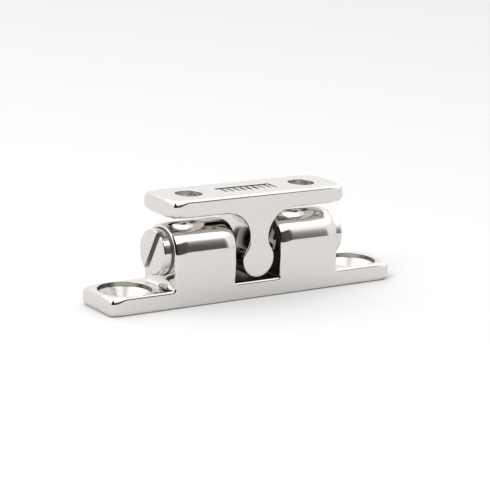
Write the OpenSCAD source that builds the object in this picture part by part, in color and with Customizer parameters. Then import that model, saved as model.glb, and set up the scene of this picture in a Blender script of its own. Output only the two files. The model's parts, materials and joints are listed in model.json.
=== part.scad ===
// Double ball catch: a case with two sprung balls, and a T-shaped striker whose bulb they hold.
// X runs along the length, Z is up, Y is across. The origin is the centre of the base's underside.

/* [Base plate] */

// length of the base plate
base_length = 50; // [40:0.5:70]
// width of the base plate, the barrels and the striker
width = 8.5; // [7:0.1:14]
// thickness of the base plate
base_thickness = 2.7; // [2:0.1:4]
// radius of the base plate's corners seen from above
base_corner = 1.0; // [0.5:0.1:3]
// radius along the top edges of the base plate
base_edge = 0.45; // [0.1:0.05:1]
// distance between the two screw holes of the base
base_hole_spacing = 40.4; // [30:0.2:60]
// through hole of the base, diameter
base_hole_d = 4.2; // [3:0.1:6]
// mouth of the countersink, diameter
base_sink_d = 7.9; // [6:0.1:10]
// straight rim above the countersink's cone
base_sink_rim = 0.7; // [0:0.05:1]

/* [Barrels] */

// height of the barrels' axis over the underside
axis_height = 7.57; // [6:0.01:12]
// width of the slot between the barrels
slot_width = 7.74; // [6:0.02:12]
// distance from the centre to a barrel's outer end
barrel_end = 14.4; // [12:0.1:22]
// radius around a barrel's outer end
barrel_edge = 0.6; // [0.1:0.05:1]
// fillet between a barrel's outer end and the base
barrel_fillet = 0.4; // [0.1:0.05:1]

/* [Balls and springs] */

// diameter of a ball
ball_d = 6.35; // [5:0.05:9]
// how far a ball's pole stands off the centre plane
ball_gap = 2.76; // [2.6:0.01:4]
// diameter of the bore a ball slides in
ball_bore_d = 6.5; // [5.1:0.05:9.2]
// diameter of the lip that keeps a ball in
lip_d = 5.5; // [4:0.05:8]
// length of that lip along the barrel
lip_length = 0.4; // [0.2:0.05:1]
// wire diameter of a spring
wire_d = 0.5; // [0.3:0.05:1]
// mean coil diameter of a spring
coil_d = 5.0; // [3:0.1:7]
// turns of a spring from end to end
coil_turns = 3.25; // [3:0.25:8]

/* [Adjusting screws] */

// outside diameter of an adjusting screw
adjuster_d = 6.8; // [6.6:0.05:7.4]
// running clearance of the screw in the barrel, on the radius
adjuster_clearance = 0.05; // [0.02:0.01:0.1]
// length of an adjusting screw
adjuster_length = 3.7; // [2:0.1:6]
// how far it stands out of the barrel
adjuster_out = 1.5; // [0:0.1:2]
// radius around its outer edge
adjuster_edge = 0.3; // [0.1:0.05:0.6]
// width of the screwdriver slot
driver_slot = 0.95; // [0.5:0.05:1.5]
// depth of the screwdriver slot
driver_depth = 1.0; // [0.5:0.1:2]
// lean of the left screw's slot towards the front at its top
left_driver_lean = 27; // [-90:1:90]
// lean of the right screw's slot towards the front at its top
right_driver_lean = 0; // [-90:1:90]

/* [Striker] */

// length of the striker plate
plate_length = 30.5; // [24:0.5:44]
// thickness of the striker plate
plate_thickness = 2.62; // [2:0.02:4]
// height of the striker plate's top over the base's underside
overall_height = 15.75; // [12:0.05:24]
// radius of the plate's corners seen from above
plate_corner = 1.0; // [0.5:0.1:3]
// radius along the plate's edges
plate_edge = 0.45; // [0.1:0.05:1]
// distance between the two screw holes of the plate
plate_hole_spacing = 20; // [16:0.2:34]
// through hole of the plate, diameter
plate_hole_d = 4.0; // [3:0.1:5]
// countersink on the plate's underside, diameter
plate_sink_d = 6.4; // [4.2:0.1:9]
// radius of the bulb
bulb_r = 2.7; // [2:0.05:3.6]
// height of the bulb's centre
bulb_height = 5.87; // [5:0.01:9]
// width of the neck at its narrowest
neck_width = 3.2; // [2:0.05:4]
// height of the neck's narrowest place
neck_height = 9.1; // [7:0.05:12]
// recess in the plate's top, along X
recess_length = 9.8; // [4:0.1:14]
// recess in the plate's top, along Y
recess_width = 2.8; // [1:0.1:4]
// depth of that recess
recess_depth = 0.35; // [0.1:0.05:0.6]
// number of plain ribs across the recess's floor
rib_count = 9; // [0:1:15]
// width of one rib, along X
rib_width = 0.4; // [0.2:0.05:1]
// length of one rib, along Y
rib_length = 2.0; // [0.5:0.1:3]
// height of one rib
rib_height = 0.25; // [0.05:0.01:0.5]

/* [Hidden] */

fine = 96;
slot_half = slot_width / 2;
barrel_r = width / 2;
ball_r = ball_d / 2;
ball_x = ball_gap + ball_r;
thread_r = adjuster_d / 2 + adjuster_clearance;
adjuster_face = barrel_end + adjuster_out;
adjuster_back = adjuster_face - adjuster_length;
thread_start = adjuster_back - 1.6;
wire_r = wire_d / 2;
coil_r = coil_d / 2;
rib_pitch = recess_length / max(rib_count, 1);
spring_start = ball_x + sqrt(pow(ball_r + wire_r, 2) - coil_r * coil_r) + 0.02;
spring_end = adjuster_back - wire_r - 0.02;
plate_bottom = overall_height - plate_thickness;
neck_arc = plate_bottom - neck_height;
neck_rise = neck_height - bulb_height;
neck_half = neck_width / 2;
lower_arc = (pow(neck_rise, 2) + pow(neck_half, 2) - pow(bulb_r, 2)) / (2 * (bulb_r - neck_half));
touch_x = bulb_r * (neck_width / 2 + lower_arc) / (lower_arc + bulb_r);
eps = 0.01;

// 2-D shape of a disc of radius r and height h whose top edge is rounded by e and whose bottom edge by b
module puck_profile(r, h, e, b) {
  if (b > 0)
    union() {
      translate([0, b]) square([r, h - e - b]);
      square([r - b, h]);
      square([r - e, h]);
      translate([r - e, h - e]) circle(r = e, $fn = 24);
      translate([r - b, b]) circle(r = b, $fn = 24);
    }
  else
    union() {
      square([r, h - e]);
      square([r - e, h]);
      translate([r - e, h - e]) circle(r = e, $fn = 24);
    }
}

module puck(r, h, e, b = 0) {
  rotate_extrude($fn = 32) intersection() {
    puck_profile(r, h, e, b);
    square([r + 1, h + 1]);
  }
}

// plate with rounded corners and rounded edges, standing on z = 0
module soft_plate(l, w, h, corner, e, b = 0) {
  hull()
    for (sx = [-1, 1], sy = [-1, 1])
      translate([sx * (l / 2 - corner), sy * (w / 2 - corner), 0]) puck(corner, h, e, b);
}

// one barrel towards +X: straight sides, round top, rounded outer edge
module barrel() {
  hull() {
    translate([slot_half, 0, axis_height]) rotate([0, 90, 0])
      rotate_extrude($fn = fine) intersection() {
        puck_profile(barrel_r, barrel_end - slot_half, barrel_edge, 0);
        square([barrel_r + 1, 100]);
      }
    translate([0, 0, 0.6]) linear_extrude(0.4) {
      translate([slot_half, -barrel_r]) square([barrel_end - slot_half - barrel_edge, width]);
      translate([barrel_end - barrel_edge - 0.1, -barrel_r + barrel_edge])
        square([barrel_edge + 0.1, width - 2 * barrel_edge]);
      for (sy = [-1, 1])
        translate([barrel_end - barrel_edge, sy * (barrel_r - barrel_edge)])
          circle(r = barrel_edge, $fn = 24);
    }
  }
  // fillet at the foot of the outer end
  translate([barrel_end - eps, 0, base_thickness - eps]) rotate([90, 0, 0])
    translate([0, 0, -(barrel_r - barrel_edge)]) linear_extrude(width - 2 * barrel_edge) difference() {
      square(barrel_fillet);
      translate([barrel_fillet, barrel_fillet]) circle(r = barrel_fillet, $fn = 32);
    }
}

// all that is bored into one side of the case, towards +X
module side_bores() {
  translate([0, 0, axis_height]) rotate([0, 90, 0]) {
    cylinder(h = thread_start, d = lip_d, $fn = fine);
    translate([0, 0, slot_half + lip_length])
      cylinder(h = thread_start - slot_half - lip_length + eps, d = ball_bore_d, $fn = fine);
    translate([0, 0, thread_start]) cylinder(h = barrel_end - thread_start + 1, r = thread_r, $fn = fine);
  }
  translate([base_hole_spacing / 2, 0, 0]) {
    translate([0, 0, -1]) cylinder(h = base_thickness + 2, d = base_hole_d, $fn = fine);
    translate([0, 0, base_thickness - base_sink_rim - (base_sink_d - base_hole_d) / 2])
      cylinder(h = (base_sink_d - base_hole_d) / 2, d1 = base_hole_d, d2 = base_sink_d, $fn = fine);
    translate([0, 0, base_thickness - base_sink_rim - eps])
      cylinder(h = base_sink_rim + 1, d = base_sink_d, $fn = fine);
  }
}

module case() {
  color([0.80, 0.80, 0.79])
    difference() {
      union() {
        soft_plate(base_length, width, base_thickness, base_corner, base_edge);
        barrel();
        mirror([1, 0, 0]) barrel();
      }
      side_bores();
      mirror([1, 0, 0]) side_bores();
    }
}

// outline of the striker's stem, seen from the front
module stem_outline() {
  arc_x = neck_width / 2 + neck_arc;
  difference() {
    union() {
      translate([-arc_x, neck_height]) square([2 * arc_x, plate_bottom - neck_height + 0.3]);
      translate([-touch_x, bulb_height]) square([2 * touch_x, neck_height - bulb_height + eps]);
      translate([0, bulb_height]) circle(r = bulb_r, $fn = fine);
    }
    for (s = [-1, 1]) {
      intersection() {
        translate([s * arc_x, neck_height]) circle(r = neck_arc, $fn = fine);
        translate([-20, neck_height - eps]) square([40, 20]);
      }
      // lower flank: a smaller hollow that runs into the bulb
      translate([s * (neck_width / 2 + lower_arc), neck_height]) circle(r = lower_arc, $fn = fine);
    }
  }
}

// shallow recess in the plate's top, less the ribs that stand on its floor
module recess() {
  floor_z = overall_height - recess_depth;
  difference() {
    translate([-recess_length / 2, -recess_width / 2, floor_z]) cube([recess_length, recess_width, 1]);
    for (i = [0:1:rib_count - 1])
      translate([(i + 0.5 - rib_count / 2) * rib_pitch - rib_width / 2, -rib_length / 2, floor_z - eps])
        cube([rib_width, rib_length, rib_height + eps]);
  }
}

module striker() {
  color([0.80, 0.80, 0.79])
    difference() {
      union() {
        translate([0, 0, plate_bottom])
          soft_plate(plate_length, width, plate_thickness, plate_corner, plate_edge, plate_edge);
        rotate([90, 0, 0]) translate([0, 0, -width / 2]) linear_extrude(width) stem_outline();
      }
      for (s = [-1, 1])
        translate([s * plate_hole_spacing / 2, 0, 0]) {
          translate([0, 0, plate_bottom - 1]) cylinder(h = plate_thickness + 2, d = plate_hole_d, $fn = fine);
          translate([0, 0, plate_bottom - eps])
            cylinder(h = (plate_sink_d - plate_hole_d) / 2, d1 = plate_sink_d, d2 = plate_hole_d, $fn = fine);
        }
      recess();
    }
}

module ball() {
  translate([ball_x, 0, axis_height]) sphere(d = ball_d, $fn = 56);
}

module left_ball() {
  color([0.78, 0.78, 0.78]) mirror([1, 0, 0]) ball();
}

module right_ball() {
  color([0.78, 0.78, 0.78]) ball();
}

// wire centre line of a spring: its turns close up towards both ends
function rise(t) = let(u = t / coil_turns, s = 2 * u - 1) 0.5 + 0.5 * (1.28 * s - 0.28 * pow(s, 5));
function wire_point(t) = [
  spring_start + (spring_end - spring_start) * rise(t),
  coil_r * cos(360 * t),
  axis_height + coil_r * sin(360 * t)
];

module spring() {
  per_turn = 32;
  round_n = 10;
  steps = floor(coil_turns * per_turn);
  rings = [
    for (i = [0:steps])
      let(
        t = i / per_turn,
        c = wire_point(t),
        slope = (wire_point(t + 0.01)[0] - wire_point(t - 0.01)[0]) / 0.02 / (2 * PI * coil_r),
        radial = [0, cos(360 * t), sin(360 * t)],
        along = [slope, -sin(360 * t), cos(360 * t)] / sqrt(1 + slope * slope),
        side = cross(along, radial)
      )
      for (k = [0:round_n - 1])
        c + wire_r * (cos(360 * k / round_n) * radial + sin(360 * k / round_n) * side)
  ];
  n = round_n;
  polyhedron(
    points = rings,
    faces = concat(
      [for (i = [0:steps - 1], k = [0:n - 1]) let(a = i * n + k, b = i * n + (k + 1) % n) [a, b, b + n]],
      [for (i = [0:steps - 1], k = [0:n - 1]) let(a = i * n + k, b = i * n + (k + 1) % n) [a, b + n, a + n]],
      [[for (k = [n - 1:-1:0]) k]],
      [[for (k = [0:n - 1]) steps * n + k]]
    )
  );
}

module left_spring() {
  color([0.62, 0.62, 0.63]) rotate([0, 0, 180]) spring();
}

module right_spring() {
  color([0.62, 0.62, 0.63]) spring();
}

// adjusting screw towards +X
module adjuster(lean) {
  difference() {
    translate([adjuster_back, 0, axis_height]) rotate([0, 90, 0])
      rotate_extrude($fn = fine) intersection() {
        puck_profile(adjuster_d / 2, adjuster_length, adjuster_edge, 0.2);
        square([adjuster_d, 100]);
      }
    translate([adjuster_face - driver_depth, 0, axis_height]) rotate([lean, 0, 0])
      translate([0, -driver_slot / 2, -adjuster_d]) cube([driver_depth + 1, driver_slot, 2 * adjuster_d]);
  }
}

module left_adjuster() {
  color([0.78, 0.78, 0.77]) rotate([0, 0, 180]) adjuster(-left_driver_lean);
}

module right_adjuster() {
  color([0.78, 0.78, 0.77]) adjuster(right_driver_lean);
}

case();
striker();
left_ball();
right_ball();
left_spring();
right_spring();
left_adjuster();
right_adjuster();
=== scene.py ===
"""Double ball catch in polished stainless steel: pieces, materials, floor, light and camera.

Lengths are in millimetres until a mesh is made, and then in metres.
X runs along the base, Z is up, and the front is at -Y.
"""

import json
import math

import bmesh
import bpy
import numpy as np
from mathutils import Matrix, Vector


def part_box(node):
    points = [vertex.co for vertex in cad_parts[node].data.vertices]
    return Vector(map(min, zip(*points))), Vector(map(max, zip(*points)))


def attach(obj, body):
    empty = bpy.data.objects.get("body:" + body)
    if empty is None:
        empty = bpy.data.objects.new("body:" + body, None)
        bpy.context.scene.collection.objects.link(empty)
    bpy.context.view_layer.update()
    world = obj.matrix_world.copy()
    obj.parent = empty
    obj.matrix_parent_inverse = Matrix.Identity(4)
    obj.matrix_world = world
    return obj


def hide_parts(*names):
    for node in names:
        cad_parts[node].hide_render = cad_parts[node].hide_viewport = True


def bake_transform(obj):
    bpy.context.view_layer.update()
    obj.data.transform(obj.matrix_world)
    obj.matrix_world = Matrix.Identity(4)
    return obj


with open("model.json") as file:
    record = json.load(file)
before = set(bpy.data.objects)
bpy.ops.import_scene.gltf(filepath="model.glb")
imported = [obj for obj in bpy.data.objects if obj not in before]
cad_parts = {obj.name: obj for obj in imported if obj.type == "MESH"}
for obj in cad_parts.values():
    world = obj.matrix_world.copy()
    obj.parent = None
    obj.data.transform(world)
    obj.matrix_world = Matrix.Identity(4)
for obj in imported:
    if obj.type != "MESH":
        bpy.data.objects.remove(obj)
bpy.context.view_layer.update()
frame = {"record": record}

MM = 0.001


# ---------------------------------------------------------------- sizes, from the frame where it has them


def node_box(node):
    low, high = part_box(node)
    return np.array(low) / MM, np.array(high) / MM


def mount(name):
    return next(m for m in frame["record"]["mounts"] if m["name"] == name)


CASE_LOW, CASE_HIGH = node_box("case")
STRIKER_LOW, STRIKER_HIGH = node_box("striker")
BALL_LOW, BALL_HIGH = node_box("right_ball")
SCREW_LOW, SCREW_HIGH = node_box("right_adjuster")
SPRING_LOW, SPRING_HIGH = node_box("right_spring")

HALF_LENGTH = CASE_HIGH[0]
HALF_WIDTH = CASE_HIGH[1]
AXIS_Z = (BALL_LOW[2] + BALL_HIGH[2]) / 2
BARREL_R = CASE_HIGH[2] - AXIS_Z
BALL_R = (BALL_HIGH[2] - BALL_LOW[2]) / 2
BALL_X = (BALL_LOW[0] + BALL_HIGH[0]) / 2
SCREW_R = (SCREW_HIGH[2] - SCREW_LOW[2]) / 2
PLATE_TOP = STRIKER_HIGH[2]
HALF_PLATE = STRIKER_HIGH[0]

BASE_TOP = 2.7
SLOT_HALF = 3.87
BARREL_END = 14.4
CORNER = 1.0  # radius of the base's and the plate's corners, seen from above
EDGE = 0.45  # radius of their long edges
CORNER_EDGES = (0.95, 1.0)  # radius of those edges at the left and at the right corners
CORNER_REACH = 1.8  # how far from a corner its edges are softer
STEM_EDGE = 0.24  # radius of the edges round the striker's stem and under its plate
UPRIGHT_EDGE = 0.35  # radius of the barrels' upright edges
UNDER_EDGE = 0.4  # radius of the base's lower edges
UNDER_EDGE_MORE = (0.35, 0.5)  # what polishing adds to it at the left and at the right end
UNDER_EDGE_REACH = 2
# where a barrel's outer end meets the base: at the front and back faces, and between them
FOOT_FILLET = (0.4, 1.2)
FOOT_EASE = (0.2, 1.8)  # how far in from those faces the one turns into the other
SLOT_FILLET = 0.3
CROWN = (2.2, 0.45)  # a barrel's end rolls off over this much of its length, by this much
# rounding of the rims of the bores, countersinks, plate holes, recess and screwdriver slots
BORE_RIM, SINK_EDGE, HOLE_EDGE, RECESS_EDGE, SLOT_EDGE = 0.1, 0.07, 0.08, 0.05, 0.08

LIP_R, LIP_LENGTH = 2.75, 0.4
BALL_BORE_R = 3.25
THREAD_R = SCREW_R + 0.05
THREAD_START = SCREW_LOW[0] - 1.6

BASE_HOLE_X = mount("base_screws")["dims"]["spacing_x_mm"] / 2
BASE_HOLE_R = mount("base_screws")["dims"]["hole_r_mm"]
SINK_R, SINK_RIM = 3.95, 0.7
SHOULDER = BASE_TOP - SINK_RIM  # where the countersink's cone ends and its straight rim starts

PLATE_THICK = 2.62
PLATE_UNDERSIDE = PLATE_TOP - PLATE_THICK
PLATE_HOLE_X = mount("striker_screws")["dims"]["spacing_x_mm"] / 2
PLATE_HOLE_R = mount("striker_screws")["dims"]["hole_r_mm"]
PLATE_SINK_R = 3.2
BULB_R, BULB_Z = 2.7, 5.87
NECK_HALF, NECK_Z = 1.6, 9.1
RECESS, RECESS_CORNER = (9.8, 2.8, 0.35), 0.15
RIBS, RIB, RIB_EDGE = 9, (0.4, 2.0, 0.25), 0.06

DRIVER_SLOT, DRIVER_DEPTH = 0.95, 1.0
# of each screwdriver slot from upright; the left screw is made like the right one, then turned round
LEFT_LEAN, RIGHT_LEAN = math.radians(-27), 0.0
SCREW_EDGE = 0.3
THREAD_PITCH = 0.5
THREAD_DEPTH = 0.27

WIRE_R = 0.25
COIL_R = (SPRING_HIGH[2] - SPRING_LOW[2]) / 2 - WIRE_R
COIL_TURNS = 3.25
COIL_CLOSING = 0.28  # how much a spring's turns close up towards its ends
PER_TURN, AROUND = 72, 20  # rings of points in each turn of a spring, and points in each ring


# ---------------------------------------------------------------- shapes as distance fields, negative inside


def rounded_and(a, b, r):
    """Inside both a and b, with their shared edge rounded by r."""
    return np.minimum(np.maximum(a, b), -r) + np.hypot(np.maximum(a + r, 0), np.maximum(b + r, 0))


def eased_and(a, b, ra, rb):
    """Inside both a and b, with a quarter of an ellipse for their shared edge: ra deep from a, rb from b."""
    u, v = np.maximum(a / ra + 1, 0), np.maximum(b / rb + 1, 0)
    h = np.maximum(np.hypot(u, v), 1e-9)
    return np.where(h > 1e-6, (h - 1) * (ra * u * u + rb * v * v) / (h * h), -rb)


def filleted_or(a, b, r):
    """Inside a or b, with a fillet of r where they meet."""
    return np.maximum(np.minimum(a, b), r) - np.hypot(np.maximum(r - a, 0), np.maximum(r - b, 0))


def cut(a, hole, r):
    """a less hole, with the hole's rim rounded by r."""
    return rounded_and(a, -hole, r)


def step(v, low, high):
    """From 0 where v is low to 1 where it is high, with a smooth start and end."""
    t = np.clip((v - low) / (high - low), 0, 1)
    return t * t * (3 - 2 * t)


def polished_edge(x, y, half_length, plain):
    """The radius of a plate's edge: plain along the sides, more at the four upright corners."""
    from_end = np.maximum(half_length - CORNER - np.abs(x), 0)
    from_side = np.maximum(HALF_WIDTH - CORNER - np.abs(y), 0)
    away = np.hypot(from_end, from_side)
    most = np.where(x > 0, CORNER_EDGES[1], CORNER_EDGES[0])
    return plain + (most - plain) * (1 - step(away, 0, CORNER_REACH))


def case_field(x, y, z):
    ax = np.abs(x)
    # seen from the front: the base, and a column on each side of the slot
    column = np.maximum(SLOT_HALF - ax, ax - BARREL_END)
    middle = (SLOT_HALF + BARREL_END) / 2
    foot = FOOT_FILLET[0] + (FOOT_FILLET[1] - FOOT_FILLET[0]) * step(HALF_WIDTH - np.abs(y), *FOOT_EASE)
    profile = filleted_or(z - BASE_TOP, column, np.where(ax > middle, foot, SLOT_FILLET))
    # seen from the end: straight sides with a half-round top
    tunnel = np.where(z > AXIS_Z, np.hypot(y, z - AXIS_Z), np.abs(y)) - BARREL_R
    sides = rounded_and(ax - HALF_LENGTH, tunnel, CORNER)
    edge = polished_edge(x, y, HALF_LENGTH, EDGE)
    edge = edge + (UPRIGHT_EDGE - edge) * step(z, BASE_TOP + 0.2, BASE_TOP + 1.2)
    up = step(z, AXIS_Z - 2, AXIS_Z + 1)
    body = eased_and(profile, sides, edge + (CROWN[0] - edge) * up, edge + (CROWN[1] - edge) * up)
    more = np.where(x > 0, UNDER_EDGE_MORE[1], UNDER_EDGE_MORE[0])
    under = UNDER_EDGE + more * step(ax, HALF_LENGTH - UNDER_EDGE_REACH, HALF_LENGTH)
    body = rounded_and(body, -z, under)

    # the bore along each barrel: lip, ball bore, thread
    rho = np.hypot(y, z - AXIS_Z)
    bore = np.minimum(
        np.minimum(
            np.maximum(rho - LIP_R, ax - THREAD_START),
            np.maximum(rho - BALL_BORE_R, np.maximum(SLOT_HALF + LIP_LENGTH - ax, ax - THREAD_START)),
        ),
        np.maximum(rho - THREAD_R, THREAD_START - ax),
    )
    body = cut(body, bore, BORE_RIM)

    # the countersunk hole at each end
    rho = np.hypot(ax - BASE_HOLE_X, y)
    cone = (rho - SINK_R - (z - SHOULDER)) * math.sqrt(0.5)
    hole = np.minimum(
        np.minimum(rho - BASE_HOLE_R, np.maximum(cone, z - SHOULDER)),
        np.maximum(rho - SINK_R, SHOULDER - z),
    )
    return cut(body, hole, SINK_EDGE)


def striker_field(x, y, z):
    ax = np.abs(x)
    plate = np.abs(z - (PLATE_TOP - PLATE_THICK / 2)) - PLATE_THICK / 2
    # the stem, seen from the front: two hollow arcs down to the neck, two smaller ones on to the bulb
    arc_r = PLATE_UNDERSIDE - NECK_Z
    arc_x = NECK_HALF + arc_r
    low_r = ((NECK_Z - BULB_Z) ** 2 + NECK_HALF**2 - BULB_R**2) / (2 * (BULB_R - NECK_HALF))
    low_x = NECK_HALF + low_r
    upper = np.maximum(arc_r - np.hypot(ax - arc_x, z - NECK_Z), ax - arc_x)
    upper = np.maximum(upper, z - PLATE_UNDERSIDE - 1)
    lower = low_r - np.hypot(ax - low_x, z - NECK_Z)
    bulb = np.hypot(x, z - BULB_Z) - BULB_R
    below_touch = ax * (NECK_Z - BULB_Z) > (z - BULB_Z) * low_x
    stem = np.where(z > NECK_Z, upper, np.where(below_touch, bulb, lower))
    profile = np.minimum(plate, stem)

    sides = rounded_and(ax - HALF_PLATE, np.abs(y) - HALF_WIDTH, CORNER)
    off_stem = step(np.maximum(z - PLATE_TOP + 1, ax - arc_x + 0.5), 0, 0.5)
    edge = STEM_EDGE + (polished_edge(x, y, HALF_PLATE, EDGE) - STEM_EDGE) * off_stem
    body = rounded_and(profile, sides, edge)

    rho = np.hypot(ax - PLATE_HOLE_X, y)
    cone = (rho - PLATE_SINK_R + (z - PLATE_UNDERSIDE)) * math.sqrt(0.5)
    sink = np.maximum(cone, rho - PLATE_SINK_R - 0.3)
    body = cut(body, np.minimum(rho - PLATE_HOLE_R, sink), HOLE_EDGE)

    # the recess, less the ribs on its floor
    length, width, depth = RECESS
    floor = PLATE_TOP - depth
    recess = np.maximum(rounded_and(ax - length / 2, np.abs(y) - width / 2, RECESS_CORNER), floor - z)
    pitch = length / RIBS
    along = np.abs((x / pitch + RIBS / 2) % 1 - 0.5) * pitch
    rib = rounded_and(np.maximum(along - RIB[0] / 2, np.abs(y) - RIB[1] / 2), z - floor - RIB[2], RIB_EDGE)
    return cut(body, np.maximum(recess, -rib), RECESS_EDGE)


def screw_field(x, y, z, lean):
    """An adjusting screw that faces +X: smooth head, threaded shank, screwdriver slot."""
    z = z - AXIS_Z
    rho = np.hypot(y, z)
    turn = np.arctan2(z, y) / (2 * math.pi)
    tooth = np.abs((x / THREAD_PITCH - turn) % 1 - 0.5) * 2
    run_in = step(x, SCREW_LOW[0] + 0.1, SCREW_LOW[0] + 0.35)
    run_out = 1 - step(x, BARREL_END + 0.1, BARREL_END + 0.3)
    cutting = run_in * run_out
    shank = rho - SCREW_R + THREAD_DEPTH * cutting * tooth
    ends = np.maximum(SCREW_LOW[0] - x, x - SCREW_HIGH[0])
    body = rounded_and(shank, ends, SCREW_EDGE)
    across = y * math.cos(lean) + z * math.sin(lean)
    slot = np.maximum(np.abs(across) - DRIVER_SLOT / 2, SCREW_HIGH[0] - DRIVER_DEPTH - x)
    return cut(body, slot, SLOT_EDGE)


# ---------------------------------------------------------------- from fields to meshes


def gradient(field, p, h=1e-3):
    x, y, z = p.T
    return (
        np.stack(
            [
                field(x + h, y, z) - field(x - h, y, z),
                field(x, y + h, z) - field(x, y - h, z),
                field(x, y, z + h) - field(x, y, z - h),
            ],
            1,
        )
        / (2 * h)
    )


def surface(field, low, high, cell):
    """Points and four-sided faces of the surface where the field is zero, one point to a grid cell."""
    low = np.array(low, float) - 1.37 * cell
    shape = np.ceil((np.array(high, float) + 1.5 * cell - low) / cell).astype(int) + 1
    grid = np.meshgrid(*[low[i] + cell * np.arange(shape[i]) for i in range(3)], indexing="ij")
    value = field(*grid)
    del grid
    cells = shape - 1
    ids, places, quads = [], [], []
    for a in range(3):
        b, c = (a + 1) % 3, (a + 2) % 3
        first = np.moveaxis(value, a, 0)[:-1]
        second = np.moveaxis(value, a, 0)[1:]
        at = np.argwhere((first < 0) != (second < 0))
        v0, v1 = first[tuple(at.T)], second[tuple(at.T)]
        rest = [i for i in range(3) if i != a]
        index = np.empty_like(at)
        index[:, a], index[:, rest[0]], index[:, rest[1]] = at.T
        place = index.astype(float)
        place[:, a] += v0 / (v0 - v1)
        corners = []
        for db, dc in ((0, 0), (1, 0), (1, 1), (0, 1)):
            cell_index = index.copy()
            cell_index[:, b] -= db
            cell_index[:, c] -= dc
            corners.append(np.ravel_multi_index(cell_index.T, cells))
        quad = np.stack(corners, 1)
        quad[v0 > 0] = quad[v0 > 0][:, ::-1]
        quads.append(quad)
        ids.append(np.stack(corners, 1).ravel())
        places.append(np.repeat(place, 4, 0))
    quads = np.concatenate(quads)
    ids, places = np.concatenate(ids), np.concatenate(places)
    used, slot = np.unique(ids, return_inverse=True)
    slot = slot.ravel()
    count = np.bincount(slot)
    points = np.stack([np.bincount(slot, places[:, i]) / count for i in range(3)], 1) * cell + low
    faces = np.searchsorted(used, quads)
    for _ in range(5):
        g = gradient(field, points)
        d = field(*points.T) / np.maximum((g**2).sum(1), 0.05)
        points -= np.clip(d, -cell / 2, cell / 2)[:, None] * g
    return points, faces


FLAT_FACE = 6  # a face of more grid squares than this belongs to a flat stretch


def shaded_mesh(name, field, low, high, cell):
    """A mesh of the field in metres, with the true surface's normals and single faces where it is flat."""
    points, faces = surface(field, low, high, cell)
    bm = bmesh.new()
    corners = [bm.verts.new(p) for p in points]
    for face in faces:
        bm.faces.new([corners[i] for i in face])
    bmesh.ops.dissolve_limit(bm, angle_limit=math.radians(0.15), verts=bm.verts, edges=bm.edges)
    bm.normal_update()
    big = FLAT_FACE * cell * cell
    bmesh.ops.triangulate(bm, faces=[f for f in bm.faces if len(f.verts) > 4 or f.calc_area() > big])
    mesh = bpy.data.meshes.new(name)
    bm.to_mesh(mesh)
    bm.free()

    n = len(mesh.vertices)
    place = np.empty(n * 3)
    mesh.vertices.foreach_get("co", place)
    place = place.reshape(-1, 3)
    normal = gradient(field, place)
    normal /= np.maximum(np.linalg.norm(normal, axis=1), 1e-9)[:, None]
    loop_vertex = np.empty(len(mesh.loops), int)
    mesh.loops.foreach_get("vertex_index", loop_vertex)
    loop_normal = normal[loop_vertex]
    total = np.empty(len(mesh.polygons), int)
    area, flat = np.empty(len(mesh.polygons)), np.empty(len(mesh.polygons) * 3)
    mesh.polygons.foreach_get("loop_total", total)
    mesh.polygons.foreach_get("area", area)
    mesh.polygons.foreach_get("normal", flat)
    owner = np.repeat(np.arange(len(total)), total)
    flat = flat.reshape(-1, 3)[owner]
    # a face of a flat stretch keeps its own normal, so that a rounded edge doesn't bend its reflection
    whole = (area[owner] > big) | ((loop_normal * flat).sum(1) < 0.5)
    loop_normal[whole] = flat[whole]
    mesh.transform(Matrix.Scale(MM, 4))
    mesh.shade_smooth()
    mesh.normals_split_custom_set(loop_normal.tolist())
    return mesh


def add_piece(name, mesh, node, material):
    piece = bpy.data.objects.new(name, mesh)
    bpy.context.collection.objects.link(piece)
    mesh.materials.append(material)
    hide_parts(node)
    return piece


def turned_round(mesh):
    """The mesh turned half a turn about Z, to the other end of the catch."""
    normals = np.empty(len(mesh.loops) * 3)
    mesh.corner_normals.foreach_get("vector", normals)
    mesh.transform(Matrix.Rotation(math.pi, 4, "Z"))
    mesh.normals_split_custom_set((normals.reshape(-1, 3) * [-1, -1, 1]).tolist())
    return mesh


def ball_mesh(name, side):
    bm = bmesh.new()
    bmesh.ops.create_icosphere(bm, subdivisions=6, radius=BALL_R * MM)
    bmesh.ops.translate(bm, vec=(side * BALL_X * MM, 0, AXIS_Z * MM), verts=bm.verts)
    mesh = bpy.data.meshes.new(name)
    bm.to_mesh(mesh)
    bm.free()
    mesh.shade_smooth()
    return mesh


def wire_centre(t):
    """The middle of the right spring's wire after t turns, which close up towards both ends."""
    start, end = SPRING_LOW[0] + WIRE_R, SPRING_HIGH[0] - WIRE_R
    s = 2 * t / COIL_TURNS - 1
    along = (1 + COIL_CLOSING) * s - COIL_CLOSING * s**5
    x = start + (end - start) * (0.5 + 0.5 * along)
    return np.stack([x, COIL_R * np.cos(2 * np.pi * t), AXIS_Z + COIL_R * np.sin(2 * np.pi * t)], 1)


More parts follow.
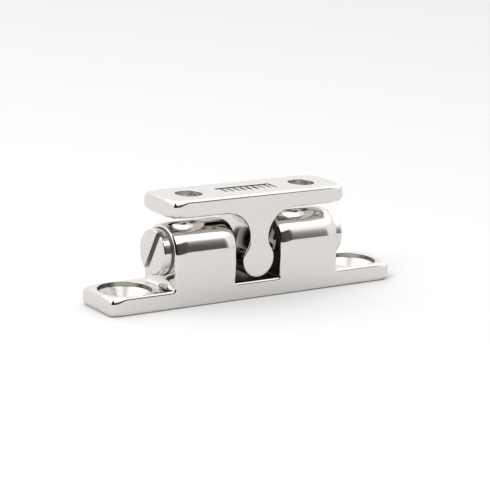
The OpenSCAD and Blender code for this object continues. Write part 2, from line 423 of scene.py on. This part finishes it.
def spring_mesh(name, side, t):
    """Wire swept along a spring, with a ring of points at each of the turns t."""
    along = wire_centre(t + 1e-3) - wire_centre(t - 1e-3)
    along /= np.linalg.norm(along, axis=1)[:, None]
    out = np.stack([0 * t, np.cos(2 * np.pi * t), np.sin(2 * np.pi * t)], 1)
    across = np.cross(along, out)
    k = 2 * np.pi * np.arange(AROUND) / AROUND
    ring = WIRE_R * (np.cos(k)[None, :, None] * out[:, None] + np.sin(k)[None, :, None] * across[:, None])
    points = (wire_centre(t)[:, None] + ring).reshape(-1, 3) * MM
    points[:, :2] *= side
    last = len(t) - 1
    faces = [
        [i * AROUND + k, i * AROUND + after, (i + 1) * AROUND + after, (i + 1) * AROUND + k]
        for i in range(last)
        for k, after in ((k, (k + 1) % AROUND) for k in range(AROUND))
    ]
    faces.append(list(range(AROUND))[::-1])
    faces.append([last * AROUND + k for k in range(AROUND)])
    mesh = bpy.data.meshes.new(name)
    mesh.from_pydata(points.tolist(), [], faces)
    bm = bmesh.new()
    bm.from_mesh(mesh)
    bmesh.ops.recalc_face_normals(bm, faces=bm.faces)
    bm.to_mesh(mesh)
    bm.free()
    mesh.shade_smooth()
    return mesh


def add_spring(side, sign):
    """A spring in two halves, an inner and an outer one."""
    turns = np.arange(int(COIL_TURNS * PER_TURN) + 1) / PER_TURN
    half = len(turns) // 2
    halves = (
        ("inner", turns[: half + 1], (f"{side}_ball", "case")),
        ("outer", turns[half:], ("case", f"{side}_seat")),
    )
    for part, t, bodies in halves:
        name = f"{side}_spring_{part}"
        spring = add_piece(name, spring_mesh(name, sign, t), f"{side}_spring", wire_steel)
        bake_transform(spring)


# ---------------------------------------------------------------- materials

STEEL = (0.70, 0.675, 0.65)
# the balls' steel, darkened as painted shade for the hollow of the slot they sit in
BALL_STEEL_SHADED = (0.30, 0.28, 0.27)
WIRE_STEEL = (0.50, 0.47, 0.44)
# painted shade: a near-black colour put on the metal in the slot, the bores, the countersinks' rims, and the
# screws' slots and threads
PAINTED_SHADE = (0.05, 0.042, 0.038)
RIM_DARK, DRIVER_DARK, THREAD_DARK = 0.5, 0.3, 0.8  # shares of the painted shade's colour
STEM_ROUGH = 0.4  # share of a drilled hole's roughness
DRILLED_ROUGHNESS, SHADED_ROUGHNESS = 0.22, 0.35  # added to the polished metal's roughness, in drilled holes and where shade is painted


def new_material(name):
    material = bpy.data.materials.new(name)
    material.use_nodes = True
    tree = material.node_tree
    shader = tree.nodes["Principled BSDF"]
    return material, tree, shader


def add_node(tree, kind, inputs=None, **settings):
    node = tree.nodes.new(kind)
    for key, value in settings.items():
        setattr(node, key, value)
    for key, value in (inputs or {}).items():
        if isinstance(value, bpy.types.NodeSocket):
            tree.links.new(value, node.inputs[key])
        else:
            node.inputs[key].default_value = value
    return node


def maths(tree, operation, *values):
    return add_node(tree, "ShaderNodeMath", dict(enumerate(values)), operation=operation).outputs[0]


def both(tree, first, *others):
    """Where all of the values are 1."""
    for value in others:
        first = maths(tree, "MINIMUM", first, value)
    return first


def either(tree, first, *others):
    """The largest of the values."""
    for value in others:
        first = maths(tree, "MAXIMUM", first, value)
    return first


def distance(tree, a, b):
    squares = [maths(tree, "MULTIPLY", v, v) for v in (a, b)]
    return maths(tree, "SQRT", maths(tree, "ADD", *squares))


def between(tree, value, low, high):
    """1 where low < value < high, in millimetres of the piece's own frame, and 0 elsewhere."""
    return maths(tree, "COMPARE", value, (low + high) / 2 * MM, (high - low) / 2 * MM)


def below(tree, value, high):
    """The same for a value that is never negative, with no lower limit."""
    return between(tree, value, -1, high)


def case_shade_and_rough_spots(tree, place):
    """Where shade is painted on the metal, in the slot, the bores and the countersinks' rims, and where the
    polishing wheel doesn't reach, so it is rough: (how dark it is, how rough it is).
    """
    xyz = add_node(tree, "ShaderNodeSeparateXYZ", {0: place}).outputs
    ax, ay, z = maths(tree, "ABSOLUTE", xyz[0]), maths(tree, "ABSOLUTE", xyz[1]), xyz[2]

    wall = both(
        tree,
        between(tree, ax, SLOT_HALF - 0.1, SLOT_HALF + 0.12),
        between(tree, z, BASE_TOP - 0.1, CASE_HIGH[2] + 0.18),
    )
    floor = both(tree, between(tree, z, BASE_TOP - 0.1, BASE_TOP + 0.1), below(tree, ax, SLOT_HALF))
    slot = both(tree, either(tree, wall, floor), below(tree, ay, HALF_WIDTH - 0.12))

    rho = distance(tree, maths(tree, "SUBTRACT", z, AXIS_Z * MM), ay)
    deep = between(tree, ax, SLOT_HALF, BARREL_END - 0.4)
    bore = both(tree, below(tree, rho, BALL_BORE_R + 0.1), deep)

    def hole(at, inner, outer, low, high):
        rho = distance(tree, maths(tree, "SUBTRACT", ax, at * MM), ay)
        return both(tree, between(tree, rho, inner, outer), between(tree, z, low, high))

    cone = hole(BASE_HOLE_X, -1, SINK_R - 0.03, 0, SHOULDER - 0.02)
    rim = hole(BASE_HOLE_X, SINK_R - 0.05, SINK_R + 0.07, SHOULDER, BASE_TOP - 0.06)
    plate_hole = hole(PLATE_HOLE_X, -1, PLATE_HOLE_R + 0.05, PLATE_UNDERSIDE, PLATE_TOP - 0.06)

    # the striker's stem, but for its front and back faces
    below_plate = PLATE_UNDERSIDE - 0.05
    in_slot = below(tree, ax, SLOT_HALF - 0.15)
    over_case = between(tree, z, CASE_HIGH[2] + 0.2, below_plate)
    stem = both(
        tree,
        either(tree, in_slot, over_case),
        between(tree, z, STRIKER_LOW[2] - 0.1, below_plate),
        below(tree, ay, HALF_WIDTH - 0.2),
    )

    # painted shade: the slot, the bores and, half as dark, the countersinks' rims
    dark = either(tree, slot, bore, maths(tree, "MULTIPLY", rim, RIM_DARK))
    return dark, either(tree, cone, plate_hole, maths(tree, "MULTIPLY", stem, STEM_ROUGH))


def screw_shade_and_rough_spots(tree, place):
    """Painted shade and roughness for an adjusting screw: shade in its thread and its screwdriver slot,
    roughness in the slot.
    """
    xyz = add_node(tree, "ShaderNodeSeparateXYZ", {0: place}).outputs
    rho = distance(tree, maths(tree, "SUBTRACT", xyz[2], AXIS_Z * MM), xyz[1])
    ax = maths(tree, "ABSOLUTE", xyz[0])
    deep = between(tree, ax, SCREW_LOW[0] - 1, SCREW_HIGH[0] - 0.1)
    inside = both(tree, below(tree, rho, SCREW_R - 0.4), deep)
    thread = between(tree, ax, SCREW_LOW[0] - 1, BARREL_END + 0.25)
    # painted shade in the screwdriver slot and, darker, in the thread
    in_slot = maths(tree, "MULTIPLY", inside, DRIVER_DARK)
    in_thread = maths(tree, "MULTIPLY", thread, THREAD_DARK)
    return either(tree, in_slot, in_thread), inside


def metal(name, tint, roughness, spread, scratch, waviness, streak=(1, 1, 1), painted_shade_and_rough=None):
    """Polished metal with fine lines, a slightly uneven gloss, and a faint swell that bends reflections.

    The roughness varies by the spread. Scratch and waviness are the heights of the lines and of the
    swell, and streak stretches the lines. The last argument says where shade is painted and where the metal
    is rough.
    """
    material, tree, shader = new_material(name)
    shader.inputs["Metallic"].default_value = 1.0
    place = add_node(tree, "ShaderNodeTexCoord").outputs["Object"]
    stretched = add_node(tree, "ShaderNodeMapping", {"Vector": place, "Scale": streak}).outputs["Vector"]

    def noise(vector, scale, detail, rough):
        values = {"Vector": vector, "Scale": scale, "Detail": detail, "Roughness": rough}
        return add_node(tree, "ShaderNodeTexNoise", values).outputs["Fac"]

    lines = noise(stretched, 5200.0, 3.0, 0.6)
    patches = noise(place, 420.0, 3.0, 0.55)
    swell = noise(place, 260.0, 1.0, 0.4)

    gloss = add_node(
        tree,
        "ShaderNodeMapRange",
        {
            "Value": maths(tree, "MULTIPLY", patches, lines),
            "From Min": 0.12,
            "From Max": 0.40,
            "To Min": roughness,
            "To Max": roughness + spread,
        },
    ).outputs[0]
    tone = add_node(
        tree,
        "ShaderNodeMapRange",
        {"Value": patches, "From Min": 0.3, "From Max": 0.7, "To Min": 0.985, "To Max": 1.0},
    )
    colour = add_node(
        tree,
        "ShaderNodeMix",
        {6: (*tint, 1.0), 7: tone.outputs[0]},
        data_type="RGBA",
        blend_type="MULTIPLY",
    )
    colour.inputs[0].default_value = 1.0
    colour = colour.outputs[2]
    if painted_shade_and_rough:
        dark, rough = painted_shade_and_rough(tree, place)
        # painted shade: the colour goes towards near black where the mask is dark
        mixed = add_node(tree, "ShaderNodeMix", {0: dark, 6: colour, 7: (*PAINTED_SHADE, 1.0)}, data_type="RGBA")
        colour = mixed.outputs[2]
        gloss = maths(tree, "MULTIPLY_ADD", rough, DRILLED_ROUGHNESS, gloss)
        gloss = maths(tree, "MULTIPLY_ADD", dark, SHADED_ROUGHNESS, gloss)
    tree.links.new(colour, shader.inputs["Base Color"])
    tree.links.new(gloss, shader.inputs["Roughness"])

    coarse = add_node(tree, "ShaderNodeBump", {"Height": swell, "Strength": 1.0, "Distance": waviness * MM})
    fine = add_node(tree, "ShaderNodeBump", {"Height": lines, "Strength": 1.0, "Distance": scratch * MM})
    tree.links.new(coarse.outputs["Normal"], fine.inputs["Normal"])
    tree.links.new(fine.outputs["Normal"], shader.inputs["Normal"])
    return material


# ---------------------------------------------------------------- floor, light and camera


FLOOR_HALF = 3.0  # metres
FLOOR_GREY = 0.62
SKY_STRENGTH = 1.7
UNLIT = (0.012, 0.010, 0.010)  # the darkest part of the room
LAMP_PLACE, LAMP_SIZE, LAMP_WATTS = (-0.48, -0.16, 0.5), 0.35, 3.0

# the camera looks this far round from +Y towards +X, this far down, and leans by the roll; degrees
AZIMUTH, ELEVATION, ROLL = 35.22, 14.13, 2.81
TARGET, AWAY = (0.35, 0, 7.0), 275.1
FOCAL_LENGTH, SENSOR_WIDTH = 136.61, 36


def grey(v):
    return (v, v, v)


def add_floor():
    mesh = bpy.data.meshes.new("floor")
    s = FLOOR_HALF
    mesh.from_pydata([(-s, -s, 0), (s, -s, 0), (s, s, 0), (-s, s, 0)], [], [(0, 1, 2, 3)])
    floor = bpy.data.objects.new("floor", mesh)
    bpy.context.collection.objects.link(floor)
    material, _, shader = new_material("floor_white")
    shader.inputs["Base Color"].default_value = (*grey(FLOOR_GREY), 1)
    shader.inputs["Roughness"].default_value = 1.0
    shader.inputs["Specular IOR Level"].default_value = 0.0
    mesh.materials.append(material)


def ramp(tree, value, stops):
    node = add_node(tree, "ShaderNodeValToRGB", {"Fac": value})
    band = node.color_ramp
    while len(band.elements) > 1:
        band.elements.remove(band.elements[-1])
    band.elements[0].position = stops[0][0]
    band.elements[0].color = (*stops[0][1], 1)
    for position, colour in stops[1:]:
        band.elements.new(position).color = (*colour, 1)
    return node.outputs["Color"]


def light_studio():
    """A white studio with a large light overhead, and the unlit side of the room behind the camera."""
    world = bpy.data.worlds.new("studio")
    bpy.context.scene.world = world
    world.use_nodes = True
    tree = world.node_tree
    direction = add_node(tree, "ShaderNodeTexCoord").outputs["Generated"]
    xyz = add_node(tree, "ShaderNodeSeparateXYZ", {0: direction})
    azimuth = maths(tree, "ARCTAN2", xyz.outputs["Y"], xyz.outputs["X"])
    turn = add_node(
        tree, "ShaderNodeMapRange", {"Value": azimuth, "From Min": -math.pi, "From Max": math.pi}
    ).outputs[0]

    def at(degrees):
        return (degrees + 180) / 360

    room = ramp(
        tree,
        turn,
        [
            (at(-154), grey(1.0)),
            (at(-146), UNLIT),
            (at(-104), UNLIT),
            (at(-96), (0.06, 0.052, 0.05)),
            (at(-56), (0.12, 0.108, 0.104)),
            (at(-54), (0.20, 0.185, 0.18)),
            (at(-52.6), (0.34, 0.32, 0.31)),
            (at(-51.2), (0.42, 0.40, 0.39)),
            (at(-48), grey(1.0)),
        ],
    )
    sky = ramp(tree, xyz.outputs["Z"], [(0.0, grey(0.60)), (0.5, grey(0.68)), (0.62, grey(1.0))])
    # the room's walls end at the height ramp, and reach higher right behind the camera
    tall_stops = ((-152, 0.0), (-146, 1.0), (-104, 1.0), (-94, 0.0))
    tall = ramp(tree, turn, [(at(degrees), grey(v)) for degrees, v in tall_stops])
    above = maths(tree, "MULTIPLY_ADD", tall, -0.38, xyz.outputs["Z"])
    height = ramp(tree, above, [(0.56, grey(0.0)), (0.61, grey(1.0))])
    colour = add_node(tree, "ShaderNodeMix", {0: height, 6: room, 7: sky}, data_type="RGBA")
    dimmed = add_node(
        tree, "ShaderNodeMix", {6: colour.outputs[2], 7: sky}, data_type="RGBA", blend_type="MULTIPLY"
    )
    dimmed.inputs[0].default_value = 1.0
    background = tree.nodes["Background"]
    tree.links.new(dimmed.outputs[2], background.inputs["Color"])
    background.inputs["Strength"].default_value = SKY_STRENGTH

    # a broad soft light from the left, which the metal doesn't mirror
    lamp = bpy.data.lights.new("softbox", "AREA")
    lamp.shape = "DISK"
    lamp.size = LAMP_SIZE
    lamp.energy = LAMP_WATTS
    softbox = bpy.data.objects.new("softbox", lamp)
    bpy.context.collection.objects.link(softbox)
    softbox.location = Vector(LAMP_PLACE)
    softbox.rotation_euler = softbox.location.to_track_quat("Z", "Y").to_euler()
    softbox.visible_glossy = False


def add_camera():
    """The photograph's view: from the front left, a little above the catch."""
    azimuth, elevation, roll = (math.radians(v) for v in (AZIMUTH, ELEVATION, ROLL))
    level = math.cos(elevation)
    forward = Vector((math.sin(azimuth) * level, math.cos(azimuth) * level, -math.sin(elevation)))
    right = Vector((math.cos(azimuth), -math.sin(azimuth), 0))
    up = right.cross(forward)
    right, up = math.cos(roll) * right + math.sin(roll) * up, math.cos(roll) * up - math.sin(roll) * right
    camera = bpy.data.cameras.new("camera")
    camera.sensor_width = SENSOR_WIDTH
    camera.lens = FOCAL_LENGTH
    camera.clip_start = 0.01
    camera.clip_end = 20
    view = bpy.data.objects.new("camera", camera)
    bpy.context.collection.objects.link(view)
    turn = Matrix((right, up, -forward)).transposed().to_4x4()
    view.matrix_world = Matrix.Translation((Vector(TARGET) - AWAY * forward) * MM) @ turn
    bpy.context.scene.camera = view


# ---------------------------------------------------------------- the scene

CELL = 0.12  # of the grid that the case and the striker are made on
SCREW_CELL = CELL * 0.6
BASE_LINES, FACE_LINES = (0.12, 1, 1), (1, 0.2, 0.2)  # the way the polishing lines run

steel = metal(
    "polished_steel",
    STEEL,
    roughness=0.035,
    spread=0.05,
    scratch=0.0004,
    waviness=0.0012,
    streak=BASE_LINES,
    painted_shade_and_rough=case_shade_and_rough_spots,
)
# painted shade: the balls' steel is darker than the steel really is, for the slot's hollow
ball_steel = metal(
    "ball_steel", BALL_STEEL_SHADED, roughness=0.10, spread=0.06, scratch=0.0002, waviness=0.0002
)
screw_steel = metal(
    "screw_steel",
    STEEL,
    roughness=0.05,
    spread=0.06,
    scratch=0.0006,
    waviness=0.0006,
    streak=FACE_LINES,
    painted_shade_and_rough=screw_shade_and_rough_spots,
)
wire_steel = metal(
    "spring_wire", WIRE_STEEL, roughness=0.22, spread=0.12, scratch=0.001, waviness=0.0005
)

case = shaded_mesh("case_polished", case_field, CASE_LOW, CASE_HIGH, CELL)
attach(add_piece("case_polished", case, "case", steel), "case")
striker = shaded_mesh("striker_polished", striker_field, STRIKER_LOW, STRIKER_HIGH, CELL)
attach(add_piece("striker_polished", striker, "striker", steel), "striker")


def screw_mesh(name, lean):
    return shaded_mesh(name, lambda x, y, z: screw_field(x, y, z, lean), SCREW_LOW, SCREW_HIGH, SCREW_CELL)


right_screw = screw_mesh("right_adjuster_turned", RIGHT_LEAN)
left_screw = turned_round(screw_mesh("left_adjuster_turned", LEFT_LEAN))
for side, sign, screw in (("right", 1, right_screw), ("left", -1, left_screw)):
    node = f"{side}_adjuster"
    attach(add_piece(f"{node}_turned", screw, node, screw_steel), node)
    node = f"{side}_ball"
    ball = ball_mesh(f"{node}_ground", sign)
    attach(add_piece(f"{node}_ground", ball, node, ball_steel), node)
    add_spring(side, sign)

add_floor()
light_studio()
add_camera()
bpy.context.scene.view_settings.view_transform = "Standard"
